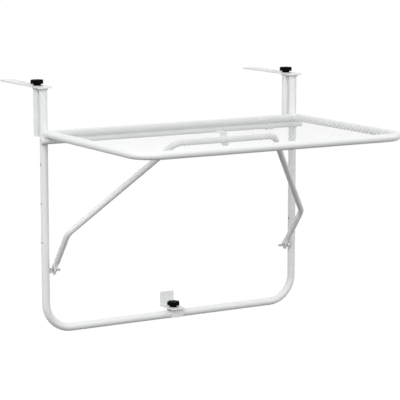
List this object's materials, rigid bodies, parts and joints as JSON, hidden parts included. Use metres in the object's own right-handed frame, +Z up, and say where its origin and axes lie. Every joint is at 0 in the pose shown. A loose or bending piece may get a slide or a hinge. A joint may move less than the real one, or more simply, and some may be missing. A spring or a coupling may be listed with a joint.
{
  "type": "folding balcony table",
  "caption": "Folding table that hangs on a balcony railing: mesh top in a bent tube rim on a U-shaped tube frame, with a folding brace, clamped hook plates and a standoff foot.",
  "frame": {"origin": "top front edge of the railing, midway between the legs: the bracket posts bear on Y = 0, the hook plates lie on Z = 0", "axes": "+X to the user's right along the railing, -Y towards the user, +Z up"},
  "size_m": [0.615, 0.589, 0.5082],
  "materials": {
    "white_coat": "satin powder coat",
    "white_mesh": "satin powder coat",
    "zinc_steel": "zinc plated",
    "white_plastic": "moulded",
    "black_plastic": "moulded",
    "brass": "turned"
  },
  "bodies": {
    "frame": {"frame_tube": "white_coat", "hinge_bar": "white_coat", "hinge_bar_plugs": "white_plastic", "bracket_post_left": "white_coat", "bracket_post_right": "white_coat", "bracket_seat_left": "white_coat", "bracket_seat_right": "white_coat", "clamp_bolt_left": "zinc_steel", "clamp_bolt_right": "zinc_steel", "pivot_collars": "zinc_steel", "pivot_studs": "zinc_steel", "retaining_washers": "zinc_steel", "standoff_saddle": "white_coat", "standoff_stud": "zinc_steel"},
    "table": {"rim_tube": "white_coat", "mesh_panel": "white_mesh", "hinge_strap_left": "white_coat", "hinge_strap_right": "white_coat", "brace_keeper": "white_coat"},
    "brace": {"brace_tube": "white_coat"},
    "hook_left": {"hook_plate_left": "white_coat"},
    "hook_right": {"hook_plate_right": "white_coat"},
    "knob_left_turn": {"knob_left": "black_plastic", "knob_left_insert": "brass"},
    "knob_right_turn": {"knob_right": "black_plastic", "knob_right_insert": "brass"},
    "standoff": {"standoff_bracket": "white_coat"},
    "standoff_knob_turn": {"standoff_knob": "black_plastic", "standoff_knob_insert": "brass"}
  },
  "joints": [
    {"name": "table_fold", "type": "hinge", "parent": "frame", "child": "table", "pos_m": [0, -0.0486, -0.104], "axis": [1, 0, 0], "range_deg": [0, 88]},
    {"name": "brace_fold", "type": "hinge", "parent": "frame", "child": "brace", "pos_m": [0, -0.035, -0.366], "axis": [1, 0, 0], "range_deg": [0, 132]},
    {"name": "hook_left_slide", "type": "slide", "parent": "frame", "child": "hook_left", "axis": [0, 1, 0], "range_m": [-0.09, 0.012]},
    {"name": "hook_right_slide", "type": "slide", "parent": "frame", "child": "hook_right", "axis": [0, 1, 0], "range_m": [-0.09, 0.012]},
    {"name": "knob_left_screw", "type": "hinge", "parent": "frame", "child": "knob_left_turn", "pos_m": [-0.2925, -0.008, 0.009], "axis": [0, 0, 1], "continuous": true},
    {"name": "knob_right_screw", "type": "hinge", "parent": "frame", "child": "knob_right_turn", "pos_m": [0.2925, -0.008, 0.009], "axis": [0, 0, 1], "continuous": true},
    {"name": "standoff_slide", "type": "slide", "parent": "frame", "child": "standoff", "axis": [0, 1, 0], "range_m": [-0.011, 0.009]},
    {"name": "standoff_knob_screw", "type": "hinge", "parent": "frame", "child": "standoff_knob_turn", "pos_m": [0, -0.035, -0.4655], "axis": [0, 0, 1], "continuous": true}
  ],
  "couplings": [
    {"joint": "brace_fold", "follows": "table_fold", "ratio": 1.5}
  ]
}
